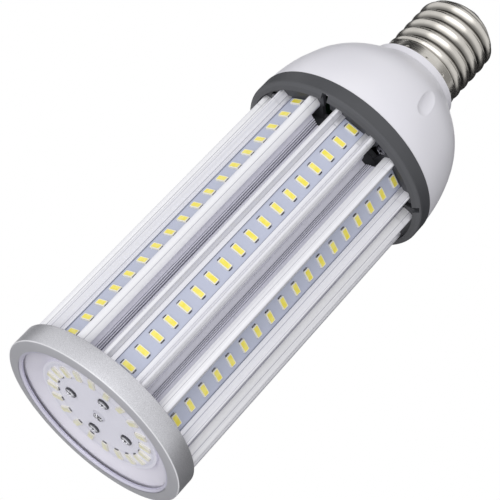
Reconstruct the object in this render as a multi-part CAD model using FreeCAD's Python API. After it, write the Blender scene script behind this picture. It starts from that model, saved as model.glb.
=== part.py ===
"""Corn LED bulb: eight lit strips round an extruded heat sink, on a mogul screw base.

The bulb stands on the rim of its lens end, with the screw base up. The origin is the
centre of that rim, +Z runs along the axis to the base, and one strip faces -Y.
"""
import FreeCAD, Part
import os
from math import acos, asin, atan2, cos, degrees, hypot, radians, sin, sqrt

# Strips and their LEDs
strip_count = 8
leds_per_strip = 18
led_pitch = 8.5
led_length = 5.7
led_width = 3.0
led_height = 0.8
first_led = 7.5
last_led = 2.5
strip_width = 12.0
strip_thickness = 1.2
strip_end_clearance = 0.2
strip_face_distance = 37.3

# Heat sink section, one petal for each strip
slot_clearance = 0.1
lip_gap = 10.5
lip_thickness = 0.6
lip_land = 1.95
shoulder_rise = 4.4
shoulder_radius = 1.0
petal_width = 22.0
flank_height = 6.7
overhang = 0.4
rib_pitch = 1.1
rib_depth = 0.55
valley_width = 2.3
sink_wall = 2.5
flank_wall = 1.5

# Front ring, clear cover and front plate
sleeve_clearance = 0.4
ring_wall = 1.2
ring_lap = 3.2
rim_width = 5.6
rim_bevel = 1.0
rim_bevel_rise = 0.6
rim_land = 0.6
rim_drop = 0.4
rim_lip = 1.5
ridge_bevel = 0.4
cover_thickness = 1.2
cover_gap = 0.2
edge_clearance = 0.2
plate_floor = 1.4
plate_cone_reach = 7.6
front_board_thickness = 1.2
front_board_margin = 0.3
front_led_count = 20
front_led_inset = 5.5
front_screw_count = 4
front_screw_circle = 29.4
front_screw_diameter = 3.0
front_screw_head = 5.5
front_screw_head_height = 1.5
front_screw_length = 6.0
front_pad_margin = 4.0
screw_hole_clearance = 0.15
lead_hole_clearance = 0.3

# Collar ring between the heat sink and the driver housing
collar_floor = 2.0
collar_skirt = 1.9
collar_slope = 1.8
collar_edge = 0.5
collar_ledge = 1.2
collar_wall = 2.1
collar_tube_wall = 2.0
collar_tube_length = 9.0
tube_clearance = 0.25
spigot_length = 4.7
spigot_clearance = 0.1
vent_width = 5.0
vent_reach = 7.0
notch_width = 3.2
notch_rim = 0.7
collar_screw_inset = 3.8
collar_screw_diameter = 2.8
collar_screw_head = 5.2
collar_screw_head_height = 1.6
collar_screw_length = 12.0

# Driver housing, a moulded dome
seam = 0.3
seam_step = 0.3
dome_wall = 2.0
dome_side_radius = 71.4
dome_side_angle = 21.4
dome_side_drop = 2.0
dome_crown_radius = 43.8
dome_crown_angle = 45.0
boss_wall = 2.4
boss_rise = 4.0
neck_radius = 21.8
neck_ledge = 0.8
neck_length = 4.1
base_spigot_length = 12.0
base_spigot_wall = 1.8
grip_radius = 8.0
grip_depth = 1.2
grip_length = 40.0

# Mogul screw base
thread_major = 39.0
thread_minor = 35.6
thread_pitch = 6.35
thread_turns = 5.0
thread_start_angle = 66.5
thread_root_land = 1.7
thread_crest_land = 1.5
thread_embed = 0.3
shell_wall = 0.5
skirt_radius = 20.6
skirt_length = 5.6
shell_fit = 0.1
shell_end_lip = 3.0
insulator_rise = 5.0
contact_radius = 7.5
contact_height = 2.5
contact_stem = 3.0

# Driver inside the housing
driver_thickness = 1.6
driver_drop = 10.0
driver_rise = 42.0
driver_clearance = 0.2
lead_diameter = 1.8
transformer_size = (24.0, 15.0, 22.0)
transformer_limb = 4.5
transformer_place = (-10.0, 17.0)
winding_clearance = 0.3
bulk_capacitor_diameter = 14.0
bulk_capacitor_length = 24.0
bulk_capacitor_place = (15.0, 8.0)
output_capacitor_diameter = 10.0
output_capacitor_length = 14.0
output_capacitor_place = (18.5, 31.0)
film_capacitor_size = (14.0, 6.5, 11.0)
film_capacitor_place = (-12.0, 36.0)
choke_diameter = 11.0
choke_length = 10.0
choke_place = (0.0, 34.0)
rectifier_size = (10.0, 3.5, 8.0)
rectifier_place = (-12.0, 30.0)
transistor_size = (10.0, 4.5, 15.0)
transistor_place = (8.0, 14.0)
fuse_diameter = 4.0
fuse_length = 12.0
fuse_place = (8.0, 34.0)

# Angles shared by the strips and the valleys between them
full_turn = 360.0
strip_step = full_turn / strip_count
half_step = radians(strip_step / 2)
first_strip = -90.0
first_valley = first_strip - strip_step / 2

# Section of one petal: u across it, v out from the axis
slot_half = strip_width / 2 + slot_clearance
slot_floor = strip_face_distance - strip_thickness
lip_half = lip_gap / 2
lip_under = strip_face_distance + slot_clearance
lip_top = lip_under + lip_thickness
lip_end = lip_half + lip_land
petal_half = petal_width / 2
shoulder_top = strip_face_distance + shoulder_rise
shoulder_centre = (petal_half - shoulder_radius, shoulder_top - shoulder_radius)
flank_foot = shoulder_top - flank_height
rib_tip = petal_half
rib_root = rib_tip - rib_depth
valley_foot = (valley_width / 2 + rib_tip * cos(half_step)) / sin(half_step)
valley_radius = valley_foot * cos(half_step) + rib_tip * sin(half_step)
rib_count = max(1, int((flank_foot - overhang - valley_foot) / rib_pitch))
sink_radius = hypot(*shoulder_centre) + shoulder_radius
core_flat = slot_floor - sink_wall
core_half = rib_root - flank_wall - rib_depth
core_radius = valley_radius - sink_wall

# Heights along the axis
cover_front = rim_lip
plate_front = cover_front + cover_thickness
board_front = plate_front + cover_gap + front_screw_head_height
plate_seat = board_front + front_board_thickness
sink_front = plate_seat + plate_floor
first_led_height = sink_front + first_led
sink_back = first_led_height + (leds_per_strip - 1) * led_pitch + last_led
ring_back = sink_front + ring_lap
collar_top_floor = sink_back + collar_floor
collar_back = collar_top_floor + spigot_length
dome_front = collar_back + seam

# Radii shared by pieces that fit together
sleeve_radius = sink_radius + sleeve_clearance
ring_radius = sleeve_radius + ring_wall
rim_radius = sleeve_radius - rim_width
cover_radius = sleeve_radius - edge_clearance
front_board_radius = rim_radius - plate_cone_reach - front_board_margin
collar_bore = sleeve_radius + collar_ledge
collar_radius = collar_bore + collar_wall
collar_tube = core_radius - tube_clearance
collar_tube_bore = collar_tube - collar_tube_wall
dome_radius = collar_radius - seam_step
collar_screw_circle = sleeve_radius - collar_screw_inset
lead_lane = (driver_thickness + lead_diameter) / 2
lead_spread = 0.6 * lead_diameter
lead_hole = 2 * hypot(lead_lane, lead_spread) + lead_diameter + 2 * lead_hole_clearance
base_spigot_radius = thread_minor / 2 - shell_wall - shell_fit
base_bore = base_spigot_radius - base_spigot_wall

os.makedirs("parts", exist_ok=True)
AXIS = FreeCAD.Vector(0, 0, 1)
ORIGIN = FreeCAD.Vector(0, 0, 0)


def save(name, solids):
    """Write one node: a single solid, or a group of separate like solids."""
    shape = solids if isinstance(solids, Part.Shape) else Part.makeCompound(solids)
    shape.exportStep("parts/" + name + ".step")


def turned(shape, angle):
    """A copy of a shape, turned about the bulb's axis."""
    copy = shape.copy()
    copy.rotate(ORIGIN, AXIS, angle)
    return copy


def around(shape, count, start):
    """Copies of a shape, evenly spaced about the axis from a start angle."""
    return [turned(shape, start + full_turn * index / count) for index in range(count)]


def tube(outer, inner, low, high):
    """A straight round tube on the axis, or a disc where the inner radius is nought."""
    body = Part.makeCylinder(outer, high - low, FreeCAD.Vector(0, 0, low))
    if inner:
        body = body.cut(Part.makeCylinder(inner, high - low, FreeCAD.Vector(0, 0, low)))
    return body


def block(x_range, y_range, z_range):
    """A box between the given limits."""
    size = [high - low for low, high in (x_range, y_range, z_range)]
    return Part.makeBox(*size, FreeCAD.Vector(x_range[0], y_range[0], z_range[0]))


def upright(radius, x, y, low, high):
    """A round bar parallel to the axis."""
    return Part.makeCylinder(radius, high - low, FreeCAD.Vector(x, y, low))


def outline(path, place):
    """A closed wire. A path entry is a corner, or a pair: a point on an arc, and its end."""
    edges = []
    last = path[0]
    for entry in path[1:] + [path[0]]:
        if isinstance(entry[0], tuple):
            middle, end = entry
            edges.append(Part.Arc(place(*last), place(*middle), place(*end)).toShape())
        else:
            end = entry
            edges.append(Part.makeLine(place(*last), place(*end)))
        last = end
    return Part.Wire(edges)


def revolved(path):
    """A solid turned about the axis from a path of (radius, height) points."""
    wire = outline(path, lambda radius, height: FreeCAD.Vector(radius, 0, height))
    return Part.Face(wire).revolve(ORIGIN, AXIS, full_turn)


def one_solid(shape):
    """The single solid of a cut or fused shape, with split faces joined."""
    return shape.removeSplitter().Solids[0]


def arc_point(centre, radius, angle):
    """The point of a circle at an angle, in degrees, from its first axis."""
    return (centre[0] + radius * cos(radians(angle)), centre[1] + radius * sin(radians(angle)))


def petal_side():
    """Half a petal's outline, from the slot's corner round the shoulder to the valley's middle."""
    crest = shoulder_centre
    foot = (lip_end, lip_top)
    reach = hypot(crest[0] - foot[0], crest[1] - foot[1])
    lean = atan2(crest[1] - foot[1], crest[0] - foot[0])
    touch = 180 + degrees(lean - acos(shoulder_radius / reach))
    path = [
        (slot_half, slot_floor),
        (slot_half, lip_under),
        (lip_half, lip_under),
        (lip_half, lip_top),
        foot,
        arc_point(crest, shoulder_radius, touch),
        (arc_point(crest, shoulder_radius, touch / 2), arc_point(crest, shoulder_radius, 0)),
        (petal_half, flank_foot),
        (rib_root, flank_foot),
    ]
    top = flank_foot - overhang
    for index in range(rib_count):
        tip = top - index * rib_pitch
        path += [(rib_root, tip), (rib_tip, tip), (rib_tip, tip - rib_pitch / 2), (rib_root, tip - rib_pitch / 2)]
    path += [(rib_root, valley_foot)]
    return path


def flipped(path):
    """A path run backwards and mirrored across the petal's middle."""
    corners = []
    for index in range(len(path) - 1, -1, -1):
        entry = path[index]
        end = entry[1] if isinstance(entry[0], tuple) else entry
        after = path[index + 1] if index + 1 < len(path) else None
        if after and isinstance(after[0], tuple):
            corners.append(((-after[0][0], after[0][1]), (-end[0], end[1])))
        else:
            corners.append((-end[0], end[1]))
    return corners


def petal_place(angle):
    """A function that puts a petal's (u, v) on the section, for a petal facing an angle."""
    across = FreeCAD.Vector(-sin(radians(angle)), cos(radians(angle)), 0)
    out = FreeCAD.Vector(cos(radians(angle)), sin(radians(angle)), 0)
    return lambda u, v: across * u + out * v + AXIS * sink_front


def heat_sink():
    """Extruded aluminium: strip slots with lips, round shoulders, ribbed valleys, hollow core."""
    side = petal_side()
    petal = flipped(side) + side
    edges = []
    first = last = None
    for index in range(strip_count):
        place = petal_place(first_strip + index * strip_step)
        for entry in petal:
            end = entry[1] if isinstance(entry[0], tuple) else entry
            point = place(*end)
            if last is None:
                first = point
            elif isinstance(entry[0], tuple):
                edges.append(Part.Arc(last, place(*entry[0]), point).toShape())
            else:
                edges.append(Part.makeLine(last, point))
            last = point
    edges.append(Part.makeLine(last, first))
    core = []
    for index in range(strip_count):
        angle = first_strip + index * strip_step
        place = petal_place(angle)
        core += [place(-core_half, core_flat), place(core_half, core_flat)]
        core.append(petal_place(angle + strip_step / 2)(0, core_radius))
    section = Part.Face([Part.Wire(edges), Part.makePolygon(core + core[:1])])
    return section.extrude(AXIS * (sink_back - sink_front))


def strip_board():
    """One aluminium-cored strip, slid into a slot, for a petal facing +X."""
    return block(
        (slot_floor, strip_face_distance),
        (-strip_width / 2, strip_width / 2),
        (sink_front + strip_end_clearance, sink_back - strip_end_clearance),
    )


def strip_leds():
    """The LED packages of one strip, long side across it."""
    packages = []
    for index in range(leds_per_strip):
        height = first_led_height + index * led_pitch
        packages.append(block(
            (strip_face_distance, strip_face_distance + led_height),
            (-led_length / 2, led_length / 2),
            (height - led_width / 2, height + led_width / 2),
        ))
    return packages


def front_ring():
    """The painted ring at the lens end: bevelled rim, sloped face, fine ridge, sleeve over the sink."""
    return revolved([
        (rim_radius, rim_bevel_rise),
        (rim_radius + rim_bevel, 0),
        (rim_radius + rim_bevel + rim_land, 0),
        (ring_radius - ridge_bevel, rim_drop),
        (ring_radius, rim_drop + ridge_bevel),
        (ring_radius, ring_back),
        (sleeve_radius, ring_back),
        (sleeve_radius, rim_lip),
        (rim_radius, rim_lip),
    ])


def front_plate():
    """The dished plate behind the cover: sloped wall, floor for the board, pad for its screws."""
    floor_radius = rim_radius - plate_cone_reach
    pad_radius = front_screw_circle / 2 + front_pad_margin
    pad_end = board_front + front_screw_length
    plate = revolved([
        (lead_hole / 2, plate_seat),
        (floor_radius, plate_seat),
        (rim_radius, plate_front),
        (cover_radius, plate_front),
        (cover_radius, sink_front),
        (pad_radius, sink_front),
        (pad_radius, pad_end),
        (lead_hole / 2, pad_end),
    ])
    hole = upright(front_screw_diameter / 2, front_screw_circle / 2, 0, plate_seat, pad_end)
    return one_solid(plate.cut(around(hole, front_screw_count, first_strip)))


def front_board():
    """The round board of the lens end, with its screw holes and a hole for the leads."""
    board = tube(front_board_radius, lead_hole / 2, board_front, plate_seat)
    hole_radius = front_screw_diameter / 2 + screw_hole_clearance
    hole = upright(hole_radius, front_screw_circle / 2, 0, board_front, plate_seat)
    return one_solid(board.cut(around(hole, front_screw_count, first_strip)))


def front_leds():
    """The ring of LED packages on the round board, long side along the radius."""
    middle = front_board_radius - front_led_inset
    package = block(
        (middle - led_length / 2, middle + led_length / 2),
        (-led_width / 2, led_width / 2),
        (board_front - led_height, board_front),
    )
    return around(package, front_led_count, first_strip)


def flat_screw(shank, head, head_height, length, x, seat):
    """A flat-topped screw at a distance from the axis, with its head below the seat."""
    return one_solid(
        upright(head / 2, x, 0, seat - head_height, seat).fuse(upright(shank / 2, x, 0, seat, seat + length))
    )


def collar_ring():
    """The dark ring under the dome: sloped skirt round the petals, vented floor, tube in the core."""
    lower = sink_back - collar_skirt
    ring = revolved([
        (sleeve_radius, lower),
        (collar_radius - collar_edge, lower + collar_slope),
        (collar_radius, lower + collar_slope + collar_edge),
        (collar_radius, collar_back),
        (collar_bore, collar_back),
        (collar_bore, collar_top_floor),
        (collar_tube_bore, collar_top_floor),
        (collar_tube_bore, sink_back - collar_tube_length),
        (collar_tube, sink_back - collar_tube_length),
        (collar_tube, sink_back),
        (sleeve_radius, sink_back),
    ])
    vent = block(
        (core_radius + sink_wall / 2, core_radius + sink_wall / 2 + vent_reach),
        (-vent_width / 2, vent_width / 2),
        (sink_back, collar_top_floor),
    )
    notch = block(
        (core_radius + sink_wall, collar_radius - notch_rim),
        (-notch_width / 2, notch_width / 2),
        (lower, collar_top_floor),
    )
    hole_radius = collar_screw_diameter / 2 + screw_hole_clearance
    hole = upright(hole_radius, collar_screw_circle, 0, sink_back, collar_top_floor)
    ring = ring.cut(around(vent, strip_count, first_valley))
    ring = ring.cut(around(notch, strip_count // 2, first_valley))
    return one_solid(ring.cut(around(hole, strip_count // 2, first_valley + strip_step)))


def dome_path(offset):
    """Points of the dome's side at an offset inside it: foot, side, crown, cone foot."""
    side_centre = (dome_radius - dome_side_radius, dome_front - dome_side_drop)
    foot_angle = degrees(asin(dome_side_drop / dome_side_radius))
    joint = arc_point(side_centre, dome_side_radius, dome_side_angle)
    crown_centre = arc_point(joint, -dome_crown_radius, dome_side_angle)
    return {
        "foot": arc_point(side_centre, dome_side_radius - offset, foot_angle),
        "side": arc_point(side_centre, dome_side_radius - offset, (foot_angle + dome_side_angle) / 2),
        "joint": arc_point(side_centre, dome_side_radius - offset, dome_side_angle),
        "crown": arc_point(crown_centre, dome_crown_radius - offset, (dome_side_angle + dome_crown_angle) / 2),
        "cone": arc_point(crown_centre, dome_crown_radius - offset, dome_crown_angle),
    }


def cone_height(start, radius):
    """The height at which the dome's straight cone, from a start point, comes in to a radius."""
    slope = sin(radians(dome_crown_angle)) / cos(radians(dome_crown_angle))
    return start[1] + (start[0] - radius) / slope


def neck_foot():
    """The height of the ledge where the dome's cone meets the neck."""
    return cone_height(dome_path(0)["cone"], neck_radius + neck_ledge)


def shell_seat():
    """The height of the neck's end, where the screw shell starts."""
    return neck_foot() + neck_length


def dome_body():
    """The turned form of the housing: spigot, side and crown arcs, cone, neck, base spigot."""
    outer = dome_path(0)
    inner = dome_path(dome_wall)
    spigot = collar_bore - spigot_clearance
    bore = spigot - dome_wall
    end = shell_seat() + base_spigot_length
    return revolved([
        (bore, collar_top_floor),
        (spigot, collar_top_floor),
        (spigot, dome_front),
        outer["foot"],
        (outer["side"], outer["joint"]),
        (outer["crown"], outer["cone"]),
        (neck_radius + neck_ledge, neck_foot()),
        (neck_radius, neck_foot()),
        (neck_radius, shell_seat()),
        (base_spigot_radius, shell_seat()),
        (base_spigot_radius, end),
        (base_bore, end),
        (base_bore, cone_height(inner["cone"], base_bore)),
        inner["cone"],
        inner["joint"],
        (bore, dome_front + dome_wall),
    ])


def grip_tool():
    """A round bar laid along the dome where its side meets its crown, sunk by the grip's depth."""
    joint = dome_path(0)["joint"]
    middle = arc_point(joint, grip_radius - grip_depth, dome_side_angle)
    start = arc_point(middle, grip_length / 2, dome_side_angle - 90)
    lie = arc_point((0, 0), 1, dome_side_angle + 90)
    return Part.makeCylinder(
        grip_radius, grip_length, FreeCAD.Vector(start[0], 0, start[1]), FreeCAD.Vector(lie[0], 0, lie[1]),
    )


def driver_housing():
    """The white dome, with a boss for each collar screw and four finger grips."""
    boss_radius = collar_screw_diameter / 2 + boss_wall
    boss_end = collar_top_floor + collar_screw_length - collar_floor + boss_rise
    boss = upright(boss_radius, collar_screw_circle, 0, collar_top_floor, boss_end)
    hole = upright(
        collar_screw_diameter / 2, collar_screw_circle, 0, collar_top_floor, sink_back + collar_screw_length,
    )
    count = strip_count // 2
    start = first_valley + strip_step
    keep_in = tube(collar_bore - spigot_clearance, 0, collar_top_floor, boss_end)
    bosses = [column.common(keep_in) for column in around(boss, count, start)]
    dome = dome_body().fuse(bosses).cut(around(hole, count, start))
    return one_solid(dome.cut(around(grip_tool(), count, start)))


def thread_ridge(start, height):
    """One rolled ridge: a flat-topped profile carried up a helix."""
    root = thread_minor / 2 - thread_embed
    crest = thread_major / 2
    half_base = (thread_pitch - thread_root_land) / 2
    half_crest = thread_crest_land / 2
    corners = [(root, -half_base), (crest, -half_crest), (crest, half_crest), (root, half_base), (root, -half_base)]
    profile = Part.makePolygon([FreeCAD.Vector(radius, 0, rise) for radius, rise in corners])
    spine = Part.makeHelix(thread_pitch, height, root)
    ridge = Part.Wire(spine).makePipeShell([profile], True, True)
    ridge.translate(AXIS * start)
    return turned(ridge, thread_start_angle)


def thread_start():
    """The height at which the thread leaves the skirt."""
    return shell_seat() + skirt_length


def thread_end():
    """The height at which the last turn of the thread ends."""
    return thread_start() + thread_turns * thread_pitch


def shell_end():
    """The height of the shell's turned-in end."""
    return thread_end() + shell_end_lip


def screw_shell():
    """The plated shell: flared skirt, rolled thread and a turned-in end."""
    root = thread_minor / 2
    bore = root - shell_wall
    end = shell_end()
    lip = bore - shell_end_lip
    core = revolved([
        (bore, shell_seat()),
        (skirt_radius, shell_seat()),
        (thread_major / 2, thread_start()),
        (root, thread_start() + thread_pitch / 4),
        (root, thread_end()),
        (lip + shell_wall, end),
        (lip, end),
        (lip, end - shell_wall),
        (bore, thread_end() - shell_wall),
    ])
    ridge = thread_ridge(thread_start(), thread_turns * thread_pitch - thread_pitch / 2)
    return one_solid(core.fuse(ridge))


def base_insulator():
    """The dark glass disc that carries the centre contact in the shell's end."""
    lip = thread_minor / 2 - shell_wall - shell_end_lip
    return revolved([
        (contact_stem, thread_end()),
        (lip, thread_end()),
        (lip, shell_end()),
        (contact_radius, shell_end() + insulator_rise),
        (contact_stem, shell_end() + insulator_rise),
    ])


def centre_contact():
    """The soldered button on the insulator, with its stem through it."""
    seat = shell_end() + insulator_rise
    return revolved([
        (0, thread_end()),
        (contact_stem, thread_end()),
        (contact_stem, seat),
        (contact_radius, seat),
        (contact_radius - contact_height / 2, seat + contact_height / 2),
        (contact_stem, seat + contact_height),
        (0, seat + contact_height),
    ])


def driver_half():
    """Half the driver board's width: it stands between the walls of the collar's tube."""
    return sqrt(collar_tube_bore ** 2 - driver_thickness ** 2 / 4) - driver_clearance


def driver_board():
    """The driver's upright circuit board."""
    return block(
        (-driver_half(), driver_half()),
        (-driver_thickness / 2, driver_thickness / 2),
        (sink_back - driver_drop, sink_back + driver_rise),
    )


def on_board(size, place, side):
    """A box standing on one side of the driver board, centred at (x, height above the sink)."""
    face = driver_thickness / 2
    depth = (face, face + size[1]) if side > 0 else (-face - size[1], -face)
    height = sink_back + place[1]
    return block(
        (place[0] - size[0] / 2, place[0] + size[0] / 2),
        depth,
        (height - size[2] / 2, height + size[2] / 2),
    )


def can_on_board(diameter, length, place, side):
    """A round part lying along one side of the driver board."""
    y = side * (driver_thickness + diameter) / 2
    low = sink_back + place[1] - length / 2
    return upright(diameter / 2, place[0], y, low, low + length)


def transformer_core():
    """The closed ferrite core, with a window for the winding."""
    width, depth, height = transformer_size
    window = (width - 2 * transformer_limb, depth, height - 2 * transformer_limb)
    return on_board(transformer_size, transformer_place, 1).cut(on_board(window, transformer_place, 1))


def transformer_winding():
    """The wound bobbin in the core's window."""
    width, depth, height = transformer_size
    spare = 2 * (transformer_limb + winding_clearance)
    return on_board((width - spare, depth + transformer_limb, height - spare), transformer_place, 1)


def base_lead_live():
    """The straight lead from the driver up to the centre contact's stem."""
    low = sink_back + driver_rise - 2 * lead_diameter
    return upright(lead_diameter / 2, 0, lead_lane, low, thread_end())


def base_lead_neutral():
    """The lead from the driver to the screw shell, turned out over the base spigot's end."""
    radius = lead_diameter / 2
    bend = 1.5 * lead_diameter
    x = base_bore - bend
    turn = shell_seat() + base_spigot_length + lead_diameter - bend
    low = sink_back + driver_rise - 2 * lead_diameter
    disc = Part.Face(Part.Wire(Part.makeCircle(radius, FreeCAD.Vector(x, lead_lane, turn))))
    elbow = disc.revolve(FreeCAD.Vector(x + bend, lead_lane, turn), FreeCAD.Vector(0, 1, 0), 90)
    wall = sqrt((thread_minor / 2 - shell_wall) ** 2 - (lead_lane + radius) ** 2) - driver_clearance
    end = Part.makeCylinder(
        radius, wall - x - bend, FreeCAD.Vector(x + bend, lead_lane, turn + bend), FreeCAD.Vector(1, 0, 0),
    )
    return one_solid(upright(radius, x, lead_lane, low, turn).fuse([elbow, end]))


def front_leads():
    """Two leads from the driver down the hollow core and through the front board's hole."""
    top = sink_back - driver_drop + 2 * lead_diameter
    return [upright(lead_diameter / 2, side * lead_spread, lead_lane, board_front, top) for side in (-1, 1)]


save("heat_sink", heat_sink())
for number in range(strip_count):
    angle = first_strip + number * strip_step
    save("led_strip_%d" % (number + 1), turned(strip_board(), angle))
    save("strip_leds_%d" % (number + 1), [turned(led, angle) for led in strip_leds()])
save("front_ring", front_ring())
save("clear_cover", tube(cover_radius, 0, cover_front, plate_front))
save("front_plate", front_plate())
save("front_board", front_board())
save("front_leds", front_leds())
front_screw = flat_screw(
    front_screw_diameter, front_screw_head, front_screw_head_height,
    front_screw_length, front_screw_circle / 2, board_front,
)
save("front_screws", around(front_screw, front_screw_count, first_strip))
save("collar_ring", collar_ring())
collar_screw = flat_screw(
    collar_screw_diameter, collar_screw_head, collar_screw_head_height,
    collar_screw_length, collar_screw_circle, sink_back,
)
save("collar_screws", around(collar_screw, strip_count // 2, first_valley + strip_step))
save("driver_housing", driver_housing())
save("screw_shell", screw_shell())
save("base_insulator", base_insulator())
save("centre_contact", centre_contact())
save("driver_board", driver_board())
save("transformer_core", transformer_core())
save("transformer_winding", transformer_winding())
save("bulk_capacitor", can_on_board(bulk_capacitor_diameter, bulk_capacitor_length, bulk_capacitor_place, 1))
save(
    "output_capacitor",
    can_on_board(output_capacitor_diameter, output_capacitor_length, output_capacitor_place, 1),
)
save("film_capacitor", on_board(film_capacitor_size, film_capacitor_place, 1))
save("choke", can_on_board(choke_diameter, choke_length, choke_place, -1))
save("rectifier", on_board(rectifier_size, rectifier_place, -1))
save("transistor", on_board(transistor_size, transistor_place, -1))
save("fuse", can_on_board(fuse_diameter, fuse_length, fuse_place, -1))
save("base_lead_live", base_lead_live())
save("base_lead_neutral", base_lead_neutral())
save("front_leads", front_leads())
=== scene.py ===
"""Corn LED bulb on a mogul screw base, standing on the rim of its lens end."""

import bmesh
import bpy
import numpy as np
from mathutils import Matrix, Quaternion, Vector
from mathutils.geometry import tessellate_polygon


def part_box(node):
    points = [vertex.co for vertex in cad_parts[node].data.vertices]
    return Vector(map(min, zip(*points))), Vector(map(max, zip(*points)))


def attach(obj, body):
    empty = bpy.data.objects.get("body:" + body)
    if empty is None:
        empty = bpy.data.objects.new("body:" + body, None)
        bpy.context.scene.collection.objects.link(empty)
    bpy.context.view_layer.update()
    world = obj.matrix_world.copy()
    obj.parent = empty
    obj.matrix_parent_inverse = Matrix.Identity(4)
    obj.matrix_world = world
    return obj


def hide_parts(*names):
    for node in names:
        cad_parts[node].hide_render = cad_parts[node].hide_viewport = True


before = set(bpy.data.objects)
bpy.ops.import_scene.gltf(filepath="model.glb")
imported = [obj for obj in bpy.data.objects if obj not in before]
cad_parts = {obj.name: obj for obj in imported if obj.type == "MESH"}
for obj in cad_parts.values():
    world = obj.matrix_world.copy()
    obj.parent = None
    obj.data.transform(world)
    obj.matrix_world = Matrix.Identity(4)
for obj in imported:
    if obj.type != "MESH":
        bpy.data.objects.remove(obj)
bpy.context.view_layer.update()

# Heat sink: one length of aluminium, pressed through a die and clear anodised, so its fine die
# lines show. Its eight petals have a slot with lips for a lit strip and round shoulders, and
# the combed valleys between them are milled away at the collar's end to let air out.
MM = 0.001
STRIPS = 8
STRIP_STEP = 2 * np.pi / STRIPS
FIRST_STRIP = -np.pi / 2
sink_low, sink_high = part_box("heat_sink")
strip_low, strip_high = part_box("led_strip_1")
strip_face = -strip_low.y
slot_floor = -strip_high.y
slot_clearance = 0.1 * MM
slot_half = strip_high.x + slot_clearance
lip_half = 5.25 * MM
lip_land = 1.95 * MM
lip_thickness = 0.6 * MM
lip_under = strip_face + slot_clearance
lip_top = lip_under + lip_thickness
lip_end = lip_half + lip_land
petal_half = 11.0 * MM
shoulder_width = 1.7 * MM
shoulder_across = petal_half - shoulder_width
shoulder_radius = 1.0 * MM
shoulder_height = strip_face + 3.4 * MM
flank_foot = strip_face - 1.2 * MM
flank_step = 0.15 * MM
crest_rows, flank_rows = 8, 14
comb_top = strip_face - 4.4 * MM
comb_rounding = 0.1 * MM
rib_root = petal_half - 0.55 * MM
rib_pitch = 1.1 * MM
RIBS = 3
valley_half = 1.15 * MM
valley_foot = (valley_half + petal_half * np.cos(STRIP_STEP / 2)) / np.sin(STRIP_STEP / 2)
milled_length = 6.0 * MM
milled_overlap = 0.2 * MM
milled_floor = slot_floor - 1.0 * MM
core_wall = 2.5 * MM
core_flat = slot_floor - core_wall
core_half = petal_half - 2.6 * MM
core_valley = valley_foot * np.cos(STRIP_STEP / 2) + petal_half * np.sin(STRIP_STEP / 2) - core_wall


def rounded(corners, radius, steps=4, closed=False):
    """A path with arcs for corners. An arc's ends lie radius / tan(half the corner's angle)
    from the corner and its centre radius / sin(half that angle) along the bisector. Its
    points blend the two end spokes by the sines of their shares of the turn."""
    corners = np.array(corners, float)
    back = np.roll(corners, 1, 0) - corners
    ahead = np.roll(corners, -1, 0) - corners
    back /= np.linalg.norm(back, axis=1, keepdims=True)
    ahead /= np.linalg.norm(ahead, axis=1, keepdims=True)
    half = np.arccos(np.clip((back * ahead).sum(1), -1, 1))[:, None] / 2
    radius = np.broadcast_to(np.asarray(radius, float), len(corners))[:, None]
    bisector = (back + ahead) / np.linalg.norm(back + ahead, axis=1, keepdims=True)
    centre = corners + bisector * radius / np.sin(half)
    spoke_in = corners + back * radius / np.tan(half) - centre
    spoke_out = corners + ahead * radius / np.tan(half) - centre
    turn = (np.pi - 2 * half)[:, None]
    share = np.linspace(0, 1, steps)[None, :, None]
    spokes = np.sin((1 - share) * turn) * spoke_in[:, None]
    spokes = spokes + np.sin(share * turn) * spoke_out[:, None]
    arcs = centre[:, None] + spokes / np.sin(turn)
    if closed:
        return arcs.reshape(-1, 2)
    return np.concatenate([corners[:1], arcs[1:-1].reshape(-1, 2), corners[-1:]])


def petal_section(milled):
    """One petal's outline as (across, out) points: half of it is drawn from the slot's corner
    over the lip, round the shoulder and down the comb, and mirrored for the other half. The
    shoulder is an arc up to its crest, and from there a quarter of an ellipse down the flank.
    A milled petal is closed under the slot, without the comb."""
    reach = np.hypot(shoulder_across - lip_end, shoulder_height - lip_top)
    lean = np.arctan2(shoulder_height - lip_top, shoulder_across - lip_end)
    touch = np.pi + lean - np.arccos(shoulder_radius / reach)
    turn = np.linspace(touch, np.pi / 2, crest_rows)
    crest = shoulder_radius * np.stack([np.cos(turn), np.sin(turn)], 1)
    turn = np.linspace(np.pi / 2, 0, flank_rows)[1:]
    drop = shoulder_height + shoulder_radius - flank_foot
    side = np.stack([shoulder_width * np.cos(turn), drop * np.sin(turn)], 1)
    shoulder = np.concatenate([
        crest + [shoulder_across, shoulder_height],
        side + [shoulder_across, flank_foot],
    ])
    slot = rounded([
        (slot_half, slot_floor),
        (slot_half, lip_under),
        (lip_half, lip_under),
        (lip_half, lip_top),
        (lip_end, lip_top),
        shoulder[0],
    ], np.array([0, 0.05, 0.12, 0.15, 0.5, 0]) * MM)
    tips = comb_top - rib_pitch * np.arange(RIBS)
    rib_rise = np.array([0, 0, -0.5, -0.5]) * rib_pitch
    rib_side = np.array([rib_root, petal_half, petal_half, rib_root])
    comb = np.stack(np.broadcast_arrays(rib_side[None, :], tips[:, None] + rib_rise[None, :]), -1)
    step = flank_foot - flank_step
    flank = np.array([shoulder[-1], (petal_half, step), (rib_root, step)])
    if milled:
        flank = np.concatenate([flank, [(rib_root, milled_floor)]])
    else:
        flank = np.concatenate([flank, comb.reshape(-1, 2), [(rib_root, valley_foot)]])
    half = np.concatenate([slot, shoulder[1:-1], rounded(flank, comb_rounding, 3)])
    return np.concatenate([half[::-1] * [-1, 1], half])


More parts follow.
